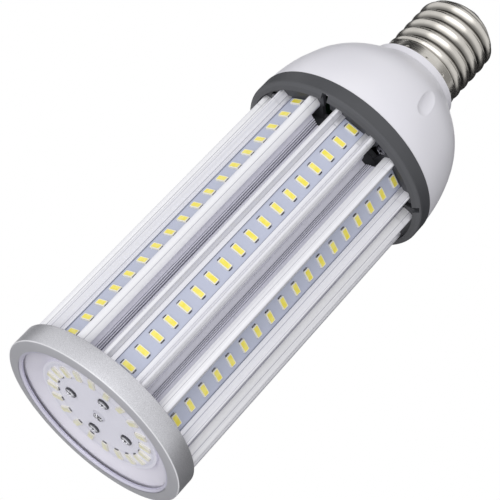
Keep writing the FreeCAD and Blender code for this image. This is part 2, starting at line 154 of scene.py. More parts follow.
def round_axis(section, start):
    """Copies of (across, out) points for every strip, as across (-sin, cos) + out (cos, sin) of
    the strip's angle."""
    angle = start + STRIP_STEP * np.arange(STRIPS)
    across = np.stack([-np.sin(angle), np.cos(angle)], 1)
    out = np.stack([np.cos(angle), np.sin(angle)], 1)
    return section[None, :, :1] * across[:, None] + section[None, :, 1:] * out[:, None]


def extruded(loops, low, high):
    """Points and faces of a section with holes, carried from one height to another: each loop
    gives a wall of quads, and one triangulation of all loops closes both ends."""
    flat = np.concatenate(loops)
    count = len(flat)
    points = np.concatenate([
        np.column_stack([flat, np.full(count, low)]),
        np.column_stack([flat, np.full(count, high)]),
    ])
    starts = np.cumsum([0] + [len(loop) for loop in loops])
    following = np.concatenate([
        start + np.roll(np.arange(len(loop)), -1) for start, loop in zip(starts, loops)
    ])
    each = np.arange(count)
    walls = np.stack([each, following, following + count, each + count], 1)
    level = [np.column_stack([loop, np.zeros(len(loop))]).tolist() for loop in loops]
    ends = np.array(tessellate_polygon(level))
    return points, walls.tolist() + ends.tolist() + (ends + count).tolist()


def joined(parts):
    """Several (points, faces, picks) as one, with the faces' indices moved on."""
    points, faces, picks = zip(*parts)
    starts = np.cumsum([0] + [len(each) for each in points])
    moved = [[start + corner for corner in face] for start, some in zip(starts, faces) for face in some]
    return np.concatenate(points), moved, sum(picks, [])


def in_scene(name, data):
    """An object that holds a mesh, a lamp or a camera, put into the scene."""
    made = bpy.data.objects.new(name, data)
    bpy.context.scene.collection.objects.link(made)
    return made


def piece(name, points, faces, materials, picks=None, crease=35):
    """A mesh object that rides on the bulb: doubles are merged, faces turned outwards, and
    edges that turn by more than the crease angle, in degrees, are kept sharp."""
    mesh = bpy.data.meshes.new(name)
    mesh.from_pydata(np.asarray(points).reshape(-1, 3).tolist(), [], list(faces))
    for material in materials:
        mesh.materials.append(material)
    if picks is not None:
        mesh.polygons.foreach_set("material_index", np.asarray(picks, dtype=np.int32))
    work = bmesh.new()
    work.from_mesh(mesh)
    bmesh.ops.remove_doubles(work, verts=work.verts, dist=0.001 * MM)
    bmesh.ops.recalc_face_normals(work, faces=work.faces)
    work.to_mesh(mesh)
    work.free()
    mesh.shade_smooth()
    mesh.set_sharp_from_angle(angle=np.radians(crease))
    made = in_scene(name, mesh)
    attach(made, "root")
    return made


class Wire:
    """One shader socket: arithmetic on it adds Math nodes, and add() places any other node."""

    def __init__(self, tree, socket):
        self.tree = tree
        self.socket = socket

    def add(self, kind, settings=None, sockets=None, output=0):
        """A node of a kind: its settings first, then the values or links of its sockets."""
        node = self.tree.nodes.new("ShaderNode" + kind)
        for name, value in (settings or {}).items():
            setattr(node, name, value)
        for name, value in (sockets or {}).items():
            if isinstance(value, Wire):
                self.tree.links.new(value.socket, node.inputs[name])
            else:
                node.inputs[name].default_value = value
        return Wire(self.tree, node.outputs[output])

    def maths(self, operation, *values):
        return self.add("Math", {"operation": operation}, dict(enumerate(values)))

    def __add__(self, other):
        return self.maths("ADD", self, other)

    def __sub__(self, other):
        return self.maths("SUBTRACT", self, other)

    def __rsub__(self, other):
        return self.maths("SUBTRACT", other, self)

    def __mul__(self, other):
        return self.maths("MULTIPLY", self, other)

    def __pow__(self, other):
        return self.maths("POWER", self, other)

    __radd__ = __add__
    __rmul__ = __mul__

    def between(self, low, high):
        """0 below low, 1 above high, and a smooth rise between them."""
        settings = {"interpolation_type": "SMOOTHSTEP"}
        return self.add("MapRange", settings, {"Value": self, "From Min": low, "From Max": high})

    def near(self, value, width):
        """1 at a value, and a smooth fall to 0 at a width from it."""
        return 1 - self.maths("ABSOLUTE", self - value).between(0.4 * width, width)

    def mix(self, first, second):
        """The first colour where this is 0, the second where it is 1."""
        return self.add("Mix", {"data_type": "RGBA"}, {0: self, 6: first, 7: second}, 2)

    def noise(self, scale, detail=2.0):
        """Noise read at these coordinates, with scale blotches to the metre along each axis."""
        stretched = self.add("Mapping", None, {"Vector": self, "Scale": scale})
        return self.add("TexNoise", None, {"Vector": stretched, "Scale": 1.0, "Detail": detail})

    def axes(self):
        """The x, y and z of these coordinates."""
        split = self.add("SeparateXYZ", None, {"Vector": self}).socket.node.outputs
        return [Wire(self.tree, socket) for socket in split]

    def radius(self):
        """How far these coordinates lie from the bulb's axis: root(x^2 + y^2)."""
        x, y, _ = self.axes()
        return (x * x + y * y) ** 0.5

    def turn_from(self, start, step):
        """The angle about the axis from the nearest of the directions start, start + step, ..."""
        x, y, _ = self.axes()
        turn = y.maths("ARCTAN2", y, x) - (start - step / 2)
        return turn.maths("FLOORED_MODULO", turn, step) - step / 2

    def bump(self, strength, distance):
        """A normal raised by these heights."""
        return self.add("Bump", None, {"Height": self, "Strength": strength, "Distance": distance})


def tint(red, green, blue):
    """A display colour from 0 to 255, as the linear values that a shader takes."""
    share = np.array([red, green, blue]) / 255
    linear = np.where(share <= 0.04045, share / 12.92, ((share + 0.055) / 1.055) ** 2.4)
    return (*linear.tolist(), 1.0)


def surface(name, changing, **fixed):
    """A material: changing(place) gives what varies over the surface, fixed what doesn't."""
    material = bpy.data.materials.new(name)
    material.use_nodes = True
    tree = material.node_tree
    shader = tree.nodes["Principled BSDF"]
    place = Wire(tree, tree.nodes.new("ShaderNodeTexCoord").outputs["Object"])
    fixed = {key.replace("_", " "): value for key, value in fixed.items()}
    for socket, value in {**fixed, **changing(place)}.items():
        if isinstance(value, Wire):
            tree.links.new(value.socket, shader.inputs[socket])
        else:
            shader.inputs[socket].default_value = value
    return material


def petal_axes(place):
    """How far a point lies across its petal, from the petal's middle, and how far out."""
    radius = place.radius()
    turn = place.turn_from(FIRST_STRIP, STRIP_STEP)
    across = radius * turn.maths("SINE", turn)
    return across.maths("ABSOLUTE", across), radius * turn.maths("COSINE", turn)


def drawn_aluminium(place):
    """Pale metal with die lines along the bulb: painted light on the flanks, painted shade under them
    and in the comb's roots, with fine scores beside each lip and along each flank."""
    across, out = petal_axes(place)
    flank = across.between(shoulder_across + 0.3 * MM, petal_half - 0.5 * MM)
    under = flank * (1 - out.between(flank_foot - 0.2 * MM, flank_foot - 0.1 * MM))
    comb = under * (1 - out.between(comb_top + 0.1 * MM, comb_top + 0.3 * MM))
    root = comb * (1 - across.between(rib_root + 0.1 * MM, petal_half - 0.1 * MM))
    scores = across.near(lip_end + 0.1 * MM, 0.12 * MM)
    scores = scores + across.near(lip_end + 1.4 * MM, 0.12 * MM)
    scores = scores + flank * out.near(strip_face + 2.0 * MM, 0.2 * MM)
    lines = place.noise((2600, 2600, 6), 3)
    streaks = place.noise((800, 800, 3), 2).between(0.45, 0.7)
    # Painted light: the flanks are coloured paler to stand in for the light they catch.
    colour = flank.mix(tint(236, 236, 241), tint(250, 250, 252))
    colour = (lines * 0.2 + streaks * 0.25).mix(colour, tint(180, 180, 196))
    # Painted shade: the recess under each flank is coloured greyer.
    colour = (under * 0.8).mix(colour, tint(206, 205, 218))
    colour = (scores * 0.65).mix(colour, tint(138, 138, 152))
    # Painted shade: the comb's roots are coloured darker.
    colour = root.mix(colour, tint(128, 128, 142))
    return {
        "Base Color": colour,
        "Metallic": 0.5 - across.between(lip_end - 0.2 * MM, lip_end + 0.2 * MM) * 0.4,
        "Roughness": 0.24 + lines * 0.18,
        "Normal": lines.bump(0.12, 0.0001),
    }


bright_aluminium = surface("bright_aluminium", drawn_aluminium)
outline = round_axis(petal_section(False), FIRST_STRIP).reshape(-1, 2)
core = np.stack([
    round_axis(np.array([(-core_half, core_flat)]), FIRST_STRIP),
    round_axis(np.array([(core_half, core_flat)]), FIRST_STRIP),
    round_axis(np.array([(0, core_valley)]), FIRST_STRIP + STRIP_STEP / 2),
], 1).reshape(-1, 2)
milled_foot = sink_high.z - milled_length
stems = [(*extruded([outline, core], sink_low.z, milled_foot), [])]
for loop in round_axis(petal_section(True), FIRST_STRIP):
    stems.append((*extruded([loop], milled_foot - milled_overlap, sink_high.z), []))
sink_points, sink_faces, _ = joined(stems)
sink = piece("finned_sink", sink_points, sink_faces, [bright_aluminium])
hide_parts("heat_sink")

# Strip boards: eight narrow boards with an aluminium core under a pale solder mask. Each is
# slid into its slot from the end and held under the lips.


def strip_mask(place):
    """Bluish grey mask with a fine grain, and a painted shadow of the lips along the strip's edges."""
    across, _ = petal_axes(place)
    painted_lip_shadow = across.between(lip_half - 0.45 * MM, lip_half - 0.05 * MM)
    grain = place.noise((900, 900, 900), 3)
    # Painted shadow: the lips' shade along the strip's edges is coloured darker.
    colour = painted_lip_shadow.mix(tint(186, 191, 210), tint(126, 129, 146))
    colour = (grain * 0.2).mix(colour, tint(160, 164, 184))
    return {"Base Color": colour, "Roughness": 0.34 + grain * 0.14}


def dress(finish, *names):
    """Give CAD nodes a finish."""
    for name in names:
        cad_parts[name].data.materials.clear()
        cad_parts[name].data.materials.append(finish)


strip_names = ["led_strip_%d" % number for number in range(1, STRIPS + 1)]
dress(surface("pale_strip_mask", strip_mask), *strip_names)

# Strip LEDs: moulded packages with a yellow phosphor window, 18 to a strip, long side across.
# Each is soldered at its two short ends, where the solder stands up in a small fillet.
LEDS = 18
row_low, row_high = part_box("strip_leds_1")
led_length = row_high.x - row_low.x
led_width = 3.0 * MM
led_height = -row_low.y - strip_face
led_pitch = (row_high.z - row_low.z - led_width) / (LEDS - 1)
led_corner = 0.25 * MM
frame_wall = 0.42 * MM
frame_edge = 0.1 * MM
window_slope = 0.08 * MM
solder_length = 0.55 * MM
solder_overlap = 0.05 * MM
solder_inset = 0.35 * MM
WINDOW, BODY, SOLDER = 0, 1, 2


def grid_faces(rows, columns, ring=False):
    """Quads of a grid of points, closed along each row, and in a ring from last row to first."""
    row = np.arange(rows if ring else rows - 1)[:, None]
    column = np.arange(columns)[None, :]
    after = (row + 1) % rows * columns
    beside = (column + 1) % columns
    row = row * columns
    corners = [row + column, row + beside, after + beside, after + column]
    return np.stack(np.broadcast_arrays(*corners), -1).reshape(-1, 4).tolist()


def led_package():
    """One LED as loops of eight points: each loop is a rectangle with cut corners at a height
    and an inset, from the foot up the wall, over the frame and down to the window."""
    inset = np.array([0, 0, frame_edge, frame_wall, frame_wall + window_slope])
    height = np.array([0, 0.85, 1.0, 1.0, 0.9]) * led_height
    sign_x = np.array([1, 1, 1, -1, -1, -1, -1, 1])
    sign_y = np.array([-1, 1, 1, 1, 1, -1, -1, -1])
    cut_x = np.array([0, 0, 1, 1, 0, 0, 1, 1]) * led_corner
    cut_y = np.array([1, 1, 0, 0, 1, 1, 0, 0]) * led_corner
    x = sign_x * (led_length / 2 - inset[:, None] - cut_x)
    y = sign_y * (led_width / 2 - inset[:, None] - cut_y)
    loops = np.stack(np.broadcast_arrays(x, y, height[:, None]), -1)
    rows, corners = loops.shape[:2]
    top = list(range((rows - 1) * corners, rows * corners))
    foot = list(range(corners))[::-1]
    faces = grid_faces(rows, corners) + [top, foot]
    picks = [BODY] * (rows - 2) * corners + [WINDOW] * (corners + 1) + [BODY]
    return loops.reshape(-1, 3), faces, picks


def solder_fillet(side):
    """A wedge of solder at one end of a package: high at the package, thin at its outer edge."""
    inner = led_length / 2 - solder_overlap
    outer = led_length / 2 + solder_length
    half = led_width / 2 - solder_inset
    x = np.array([inner, inner, outer, outer, inner, inner, outer, outer]) * side
    y = np.array([-half, half, 0.8 * half, -0.8 * half] * 2)
    z = np.array([0, 0, 0, 0, 0.5, 0.5, 0.12, 0.12]) * led_height
    faces = [[0, 1, 2, 3], [4, 5, 6, 7], [0, 1, 5, 4], [1, 2, 6, 5], [2, 3, 7, 6], [3, 0, 4, 7]]
    return np.stack([x, y, z], 1), faces, [SOLDER] * 6


def repeated(template, placed):
    """A template's faces and picks, once for each copy of its points."""
    points, faces, picks = template
    copies = len(placed)
    starts = len(points) * np.arange(copies)
    many = [[start + corner for corner in face] for start in starts for face in faces]
    return placed.reshape(-1, 3), many, picks * copies


def phosphor(place):
    """Yellow resin, paler in patches where it was filled thinner."""
    patch = place.noise((420, 420, 420), 1)
    colour = patch.between(0.35, 0.7).mix(tint(240, 224, 76), tint(244, 232, 120))
    return {"Base Color": colour, "Roughness": 0.3 + patch * 0.2}


def package_resin(place):
    """Off-white moulded resin with a faint unevenness."""
    patch = place.noise((800, 800, 800), 2)
    colour = patch.mix(tint(240, 238, 226), tint(224, 220, 206))
    return {"Base Color": colour, "Roughness": 0.4 + patch * 0.15}


def dull_solder(place):
    """Dull tin solder, darker in its hollows."""
    patch = place.noise((1800, 1800, 1800), 2)
    colour = patch.between(0.35, 0.65).mix(tint(38, 37, 42), tint(120, 119, 126))
    return {
        "Base Color": colour,
        "Roughness": 0.35 + patch * 0.2,
        "Normal": patch.bump(0.3, 0.00005),
    }


led_finishes = [
    surface("phosphor_window", phosphor, Coat_Weight=0.4, Coat_Roughness=0.15),
    surface("package_resin", package_resin),
    surface("dull_solder", dull_solder, Metallic=0.6),
]
led = joined([led_package(), solder_fillet(1), solder_fillet(-1)])
led_heights = row_low.z + led_width / 2 + led_pitch * np.arange(LEDS)
along = np.array([0, 0, 1])
for number in range(1, STRIPS + 1):
    angle = FIRST_STRIP + STRIP_STEP * (number - 1)
    across = np.array([-np.sin(angle), np.cos(angle), 0])
    out = np.array([np.cos(angle), np.sin(angle), 0])
    x, y, z = led[0].T[:, :, None]
    shape = x * across + y * along + (strip_face + z) * out
    points, faces, picks = repeated(led, shape[None] + led_heights[:, None, None] * along)
    row = piece("strip_led_row_%d" % number, points, faces, led_finishes, picks)
    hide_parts("strip_leds_%d" % number)

# Front plate: a dished plate of pressed aluminium, painted white inside. It closes the sink's
# end, its floor carries the round board, and its sloped wall throws the light forwards.


def satin_white(place):
    """White paint with a faint unevenness and a fine orange-peel."""
    patch = place.noise((60, 60, 60), 2)
    peel = place.noise((1400, 1400, 1400), 1)
    colour = patch.mix(tint(236, 234, 242), tint(220, 217, 230))
    return {
        "Base Color": colour,
        "Roughness": 0.3 + peel * 0.15,
        "Normal": peel.bump(0.08, 0.00003),
    }


dress(surface("satin_white_paint", satin_white), "front_plate")

# Front board: a round aluminium-cored board under a white mask, screwed to the plate's floor,
# with a ring of 20 LEDs that stand along the radius.
FRONT_LEDS = 20
board_low, board_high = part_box("front_board")
board_radius = board_high.x
front_led_circle = board_radius - 5.5 * MM


def board_mask(place):
    """White mask with faint rings of copper under it."""
    radius = place.radius()

    def copper(low, high):
        edge = 0.4 * MM
        return radius.between(low, low + edge) * (1 - radius.between(high - edge, high))

    rings = copper(20.4 * MM, 21.8 * MM) + copper(27.0 * MM, 28.8 * MM)
    grain = place.noise((700, 700, 700), 2)
    colour = (rings * 0.5).mix(tint(245, 244, 254), tint(220, 220, 234))
    colour = (grain * 0.15).mix(colour, tint(200, 199, 216))
    return {"Base Color": colour, "Roughness": 0.35 + grain * 0.1}


def even_turns(count):
    """Angles evenly spaced about the axis, from nought."""
    return 2 * np.pi * np.arange(count) / count


dress(surface("white_board_mask", board_mask), "front_board")
angles = FIRST_STRIP + even_turns(FRONT_LEDS)[:, None, None]
radial = np.concatenate([np.cos(angles), np.sin(angles), np.zeros_like(angles)], 2)
sideways = np.concatenate([-np.sin(angles), np.cos(angles), np.zeros_like(angles)], 2)
forward = np.array([0, 0, -1])
front_led = joined([led_package(), solder_fillet(-1)])
x, y, z = front_led[0].T[:, None, :, None]
placed = (front_led_circle + x) * radial + y * sideways + z * forward + [0, 0, board_low.z]


def pale_phosphor(place):
    """Cream resin, nearly white where it was filled thinner."""
    patch = place.noise((420, 420, 420), 1)
    colour = patch.between(0.35, 0.7).mix(tint(236, 231, 190), tint(244, 242, 222))
    return {"Base Color": colour, "Roughness": 0.3 + patch * 0.2}


front_finishes = [surface("pale_phosphor_window", pale_phosphor), *led_finishes[1:]]
points, faces, picks = repeated(front_led, placed)
led_ring = piece("front_led_ring", points, faces, front_finishes, picks)
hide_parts("front_leds")

# Front screws: four zinc-plated pan-head screws with a cross recess, which clamp the board to
# the plate.
FRONT_SCREWS = 4
front_screw_circle = 14.7 * MM
front_head_radius = 2.75 * MM
front_shank_radius = 1.5 * MM
crown_rows, screw_columns = 15, 48
arm_half, arm_edge = 0.17, 0.08
arm_reach, arm_end = 0.56, 0.12
arm_depth = 0.62


def spun(path, turns):
    """A path of (radius, height) points turned about the axis to the given angles: a grid of
    (radius cos, radius sin, height), with one row for a point."""
    radius, height = path.T[:, :, None]
    return np.stack(np.broadcast_arrays(radius * np.cos(turns), radius * np.sin(turns), height), -1)


def cross_screw(head_radius, head_height, shank_radius, length):
    """A screw pointing up, its head below nought: a domed head, with a cross sunk where the
    lesser of |x| and |y| is under half an arm's width and the greater under its length. The
    arms' sizes are shares of the head's radius, and their depth a share of its height."""
    crown = np.linspace(0, 1, crown_rows)
    dome = np.stack([crown * 0.92 * head_radius, -head_height * (1 - 0.45 * crown ** 2.4)], 1)
    rest = np.array([
        (head_radius, -0.35 * head_height),
        (head_radius, 0),
        (shank_radius, 0),
        (shank_radius, length),
        (0, length),
    ])
    points = spun(np.concatenate([dome, rest]), even_turns(screw_columns))
    sides = np.sort(abs(points[..., :2]), -1) / head_radius
    arm = np.clip((arm_half - sides[..., 0]) / arm_edge, 0, 1)
    arm = arm * np.clip((arm_reach - sides[..., 1]) / arm_end, 0, 1)
    points[:crown_rows, :, 2] += arm[:crown_rows] * arm_depth * head_height
    return points


def zinc(name, top, seat, crown):
    """Zinc plating on a screw's head: a little cloudy on its crown, from the crown's tone to a
    duller one, with painted shade in the cross and down its side."""
    def plated(place):
        height = place.axes()[2]
        cloud = place.noise((900, 900, 900), 3)
        # Painted shade: below the crown, the cross and the head's side are coloured near black.
        sunk = height.between(top + 0.2 * (seat - top), top + 0.5 * (seat - top))
        dull = 0.7 * crown
        colour = cloud.mix(tint(crown, crown, crown + 4), tint(dull, dull, dull + 8))
        return {"Base Color": sunk.mix(colour, tint(30, 30, 36)), "Roughness": 0.16 + cloud * 0.16}
    return surface(name, plated, Metallic=0.8)


def screws(name, node, count, start, circle, shape, finish):
    """Copies of a screw on a circle about the axis, as one piece."""
    turn = start + even_turns(count)
    shift = np.stack([circle * np.cos(turn), circle * np.sin(turn), np.zeros(count)], 1)
    one = shape.reshape(-1, 3), grid_faces(*shape.shape[:2]), []
    points, faces, _ = repeated(one, one[0][None] + shift[:, None])
    made = piece(name, points, faces, [finish], crease=50)
    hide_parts(node)


head_low, head_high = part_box("front_screws")
screw_seat = board_low.z
front_screw = cross_screw(
    front_head_radius, screw_seat - head_low.z, front_shank_radius, head_high.z - screw_seat,
)
front_zinc = zinc("front_zinc", head_low.z, screw_seat, 242)
screws("front_cross_screws", "front_screws", FRONT_SCREWS, FIRST_STRIP, front_screw_circle,
       front_screw + [0, 0, screw_seat], front_zinc)

# Lead ends: the two leads come up through the middle of the board. A plug of white silicone
# closes the hole round them, and their tinned ends are soldered down in two beads.
lead_low, lead_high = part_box("front_leads")
lead_radius = 0.9 * MM
lead_across = lead_high.x - lead_radius
lead_lane = (lead_low.y + lead_high.y) / 2
plug_radius = 3.1 * MM
plug_top = board_low.z - 0.1 * MM
plug_columns = 48
bead_radius, bead_height = 1.35 * MM, 1.0 * MM
bead_rows, bead_columns = 9, 24


def turned(name, path, columns, finish, ring=False):
    """A piece turned about the axis from a path of (radius, height) points. In a ring the path
    ends where it began."""
    points = spun(path, even_turns(columns))
    return piece(name, points, grid_faces(len(path), columns, ring), [finish])


def silicone(place):
    """White silicone, uneven where it was smoothed by hand."""
    lump = place.noise((900, 900, 900), 2)
    colour = lump.mix(tint(228, 227, 236), tint(206, 205, 218))
    return {"Base Color": colour, "Roughness": 0.35 + lump * 0.2}


def bead_tin(place):
    """Bright tin with a dark skin of flux in its hollows."""
    skin = place.noise((1500, 1500, 1500), 3)
    colour = skin.between(0.45, 0.56).mix(tint(30, 30, 34), tint(226, 226, 230))
    return {"Base Color": colour, "Roughness": 0.2 + skin * 0.2, "Normal": skin.bump(0.4, 0.0002)}


plug_path = np.array([
    (0, plug_top),
    (0.8 * plug_radius, plug_top),
    (plug_radius, board_low.z),
    (plug_radius, board_high.z),
])
white_silicone = surface("white_silicone", silicone)
turned("lead_plug", plug_path, plug_columns, white_silicone)
swell = np.linspace(0, np.pi / 2, bead_rows)
bead_path = np.stack([bead_radius * np.sin(swell), -bead_height * np.cos(swell)], 1)
bead = spun(bead_path, even_turns(bead_columns)).reshape(-1, 3), grid_faces(bead_rows, bead_columns), []
bead_places = np.array([(side * lead_across, lead_lane, plug_top) for side in (-1, 1)])
points, faces, _ = repeated(bead, bead[0][None] + bead_places[:, None])
piece("lead_beads", points, faces, [surface("bead_tin", bead_tin, Metallic=0.8)])

# Clear cover: a disc of clear acrylic behind the ring's rim. It is cut from sheet and laid in
# loose, so it has a faint film of dust and fine scuffs.


def clear_sheet(place):
    """Nearly clear, with a faint film."""
    film = place.noise((70, 70, 70), 3)
    return {"Alpha": 0.03 + film * 0.03, "Roughness": 0.05 + film * 0.08}


acrylic = surface("clear_acrylic", clear_sheet, Base_Color=tint(236, 236, 248))
dress(acrylic, "clear_cover")

# Front ring: a pressed ring in silver-grey paint, pushed over the sink's end. Its face slopes
# back a little from the bevelled rim to a fine ridge round its outer edge, with a painted highlight on
# the ridge.
ring_low, ring_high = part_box("front_ring")
ring_radius = ring_high.x
ring_wall = 1.2 * MM
sleeve_radius = ring_radius - ring_wall
rim_radius = ring_radius - 6.8 * MM
rim_back = ring_low.z + 1.5 * MM
rim_bevel, rim_bevel_rise = 1.0 * MM, 0.6 * MM
rim_land = 0.6 * MM
land_start = rim_radius + rim_bevel
ridge_bevel = 0.4 * MM
ridge_low = ring_low.z + 0.4 * MM
ridge_high = ridge_low + ridge_bevel
ring_columns = 180


def silver_flake(place):
    """Silver-grey paint with fine flakes: painted shade on the front face, a painted highlight on
    the ridge, and paler and more lilac on the rim's bevel."""
    height = place.axes()[2]
    flake = place.noise((4200, 4200, 4200), 1)
    patch = place.noise((90, 90, 90), 2)
    face = 1 - height.between(ridge_low + 0.02 * MM, ridge_low + 0.1 * MM)
    ridge = (1 - face) * (1 - height.between(ridge_high - 0.05 * MM, ridge_high + 0.05 * MM))
    bevel = 1 - place.radius().between(land_start + 0.2 * MM, land_start + 0.5 * MM)
    colour = flake.between(0.35, 0.65).mix(tint(190, 190, 195), tint(216, 216, 221))
    colour = (patch * 0.2).mix(colour, tint(178, 178, 184))
    # Painted shade: the front face, turned away from the light, is coloured darker.
    colour = (face * 0.8).mix(colour, tint(186, 186, 192))
    # Painted highlight: the ridge is coloured near white.
    colour = (ridge * 0.5).mix(colour, tint(240, 240, 243))
    colour = bevel.mix(colour, tint(206, 204, 220))
    return {
        "Base Color": colour,
        "Metallic": 0.65 - face * 0.35,
        "Roughness": 0.36 + patch * 0.1,
        "Normal": flake.bump(0.2, 0.00004),
    }


silver = surface("silver_paint", silver_flake)
ring_path = rounded([
    (rim_radius, ring_low.z + rim_bevel_rise),
    (land_start, ring_low.z),
    (land_start + rim_land, ring_low.z),
    (ring_radius - ridge_bevel, ridge_low),
    (ring_radius, ridge_high),
    (ring_radius, ring_high.z),
    (sleeve_radius, ring_high.z),
    (sleeve_radius, rim_back),
    (rim_radius, rim_back),
], np.array([0.15, 0.2, 0.2, 0.12, 0.12, 0.3, 0.1, 0.1, 0.15]) * MM, closed=True)
front_band = turned("silver_front_ring", ring_path, ring_columns, silver, True)
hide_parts("front_ring")

# Collar ring: a dark grey moulding that joins the sink to the dome. Its skirt goes round the
# petals, and its floor, open at each valley as a vent, is screwed down from below.
collar_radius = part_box("collar_ring")[1].x
collar_lower = sink_high.z - 1.9 * MM


def dark_moulding(place):
    """Dark grey moulded plastic with a fine spark texture, painted light on the sloped lower face
    and a painted highlight along its inner edge."""
    height = place.axes()[2]
    spark = place.noise((2400, 2400, 2400), 2)
    patch = place.noise((70, 70, 70), 2)
    lit_slope = 1 - height.between(collar_lower + 1.85 * MM, collar_lower + 2.0 * MM)
    lit_slope = lit_slope * place.radius().between(0.96 * collar_radius, 0.965 * collar_radius)
    edge = lit_slope * (1 - height.between(collar_lower + 0.15 * MM, collar_lower + 0.35 * MM))
    colour = patch.mix(tint(62, 63, 67), tint(74, 75, 79))
    # Painted light: the sloped lower face is coloured paler.
    colour = (lit_slope * 0.15).mix(colour, tint(100, 101, 106))
    # Painted highlight: the inner edge is coloured pale.
    colour = (edge * 0.6).mix(colour, tint(150, 151, 156))
    return {
        "Base Color": colour,
        "Roughness": 0.42 + spark * 0.15,
        "Normal": spark.bump(0.15, 0.00004),
    }


dress(surface("dark_grey_plastic", dark_moulding), "collar_ring")

# Collar screws: four more cross screws, in alternate valleys, up through the collar's floor
# into the dome's bosses.
COLLAR_SCREWS = 4
FIRST_VALLEY = FIRST_STRIP + STRIP_STEP / 2
collar_screw_circle = 39.51 * MM
collar_head_radius = 2.6 * MM
collar_shank_radius = 1.4 * MM
head_low, head_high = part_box("collar_screws")
collar_seat = sink_high.z
collar_screw = cross_screw(
    collar_head_radius, collar_seat - head_low.z, collar_shank_radius, head_high.z - collar_seat,
)
# Painted shade: the collar screws' zinc is a darker copy of the front screws' zinc, for their place
# deep in the valleys.
shaded_collar_zinc = zinc("shaded_collar_zinc", head_low.z, collar_seat, 120)
screws("collar_cross_screws", "collar_screws", COLLAR_SCREWS, FIRST_VALLEY, collar_screw_circle,
       collar_screw + [0, 0, collar_seat], shaded_collar_zinc)

# Dome: the driver's housing, moulded in satin white plastic. Its side and crown are two arcs
# and a cone, four finger grips are sunk into the crown, and the screw base sits on its neck.
dome_low, dome_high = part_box("driver_housing")
dome_radius = collar_radius - 0.3 * MM
dome_front = dome_low.z + 5.0 * MM
spigot_radius = dome_radius - 1.9 * MM
dome_wall = 2.0 * MM
side_radius, side_angle = 71.4 * MM, np.radians(21.4)
side_drop = 2.0 * MM
crown_radius, crown_angle = 43.8 * MM, np.radians(45.0)
shell_low, shell_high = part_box("screw_shell")
neck_radius = 21.8 * MM
neck_step = 0.8 * MM
neck_foot = shell_low.z - 4.1 * MM
base_spigot = 17.2 * MM
base_bore = 15.4 * MM
grip_radius, grip_depth = 6.5 * MM, 1.2 * MM
grip_straight = 4.0 * MM
collar_taper, neck_taper = 0.64, 0.14
GRIPS = 4
outer_rows, inner_rows = 56, 12
grip_angles = FIRST_VALLEY + even_turns(GRIPS)


def arc(centre, radius, start, end, steps):
    """Points of a circle, centre + radius (cos, sin), between two angles."""
    turn = np.linspace(start, end, steps)
    return np.asarray(centre) + radius * np.stack([np.cos(turn), np.sin(turn)], 1)


side_centre = np.array([dome_radius - side_radius, dome_front - side_drop])
joint_normal = np.array([np.cos(side_angle), np.sin(side_angle)])
joint = side_centre + side_radius * joint_normal
crown_centre = joint - crown_radius * joint_normal


def dome_side(offset, steps):
    """The dome's side and crown as (radius, height) points, at an offset inside its surface."""
    foot_angle = np.arcsin(side_drop / side_radius)
    side = arc(side_centre, side_radius - offset, foot_angle, side_angle, steps)
    crown = arc(crown_centre, crown_radius - offset, side_angle, crown_angle, steps)
    return np.concatenate([side, crown[1:]])


def dome_columns():
    """Angles round the dome: two degrees apart, and a quarter of a degree at the grips."""
    coarse = np.radians(np.arange(0, 360, 2.0))
    fine = (grip_angles[:, None] + np.radians(np.arange(-8, 8.01, 0.25))).ravel() % (2 * np.pi)
    return np.unique(np.round(np.concatenate([coarse, fine]), 6))


def gripped(path, angles, points):
    """Sink the grips. A bar lies along the dome at the joint of side and crown. A point that is
    rise outside the bar's middle and sideways from it sinks, along the joint's normal, to the
    bar's near side: by rise + root(bar radius^2 - sideways^2 - past^2), where that is above
    nought. Past is a share of the distance along the bar, so that it tapers: quickly at its
    end towards the collar, slowly towards the neck."""
    turn = (angles[None, :] - grip_angles[:, None] + np.pi) % (2 * np.pi) - np.pi
    nearest = np.abs(turn).argmin(0)
    turn = turn[nearest, np.arange(len(angles))]
    middle = joint + (grip_radius - grip_depth) * joint_normal
    out = path[:, :1] * np.cos(turn) - middle[0]
    sideways = path[:, :1] * np.sin(turn)
    rise = out * joint_normal[0] + (path[:, 1:] - middle[1]) * joint_normal[1]
    along = out * joint_normal[1] - (path[:, 1:] - middle[1]) * joint_normal[0]
    past = collar_taper * np.maximum(along - grip_straight, 0) + neck_taper * np.maximum(-along, 0)
    bar = np.sqrt(np.maximum(grip_radius ** 2 - sideways ** 2 - past ** 2, 0))
    sink = np.where((bar > 0) & (abs(turn) < np.pi / 4), np.maximum(rise + bar, 0), 0)
    points[..., 0] -= sink * joint_normal[0] * np.cos(grip_angles[nearest])
    points[..., 1] -= sink * joint_normal[0] * np.sin(grip_angles[nearest])
    points[..., 2] -= sink * joint_normal[1]
    return points


def satin_moulding(place):
    """Satin white plastic with a very fine spark texture."""
    spark = place.noise((3000, 3000, 3000), 2)
    patch = place.noise((40, 40, 40), 2)
    colour = patch.mix(tint(235, 234, 240), tint(228, 227, 235))
    return {
        "Base Color": colour,
        "Roughness": 0.34 + spark * 0.08,
        "Normal": spark.bump(0.05, 0.00003),
    }


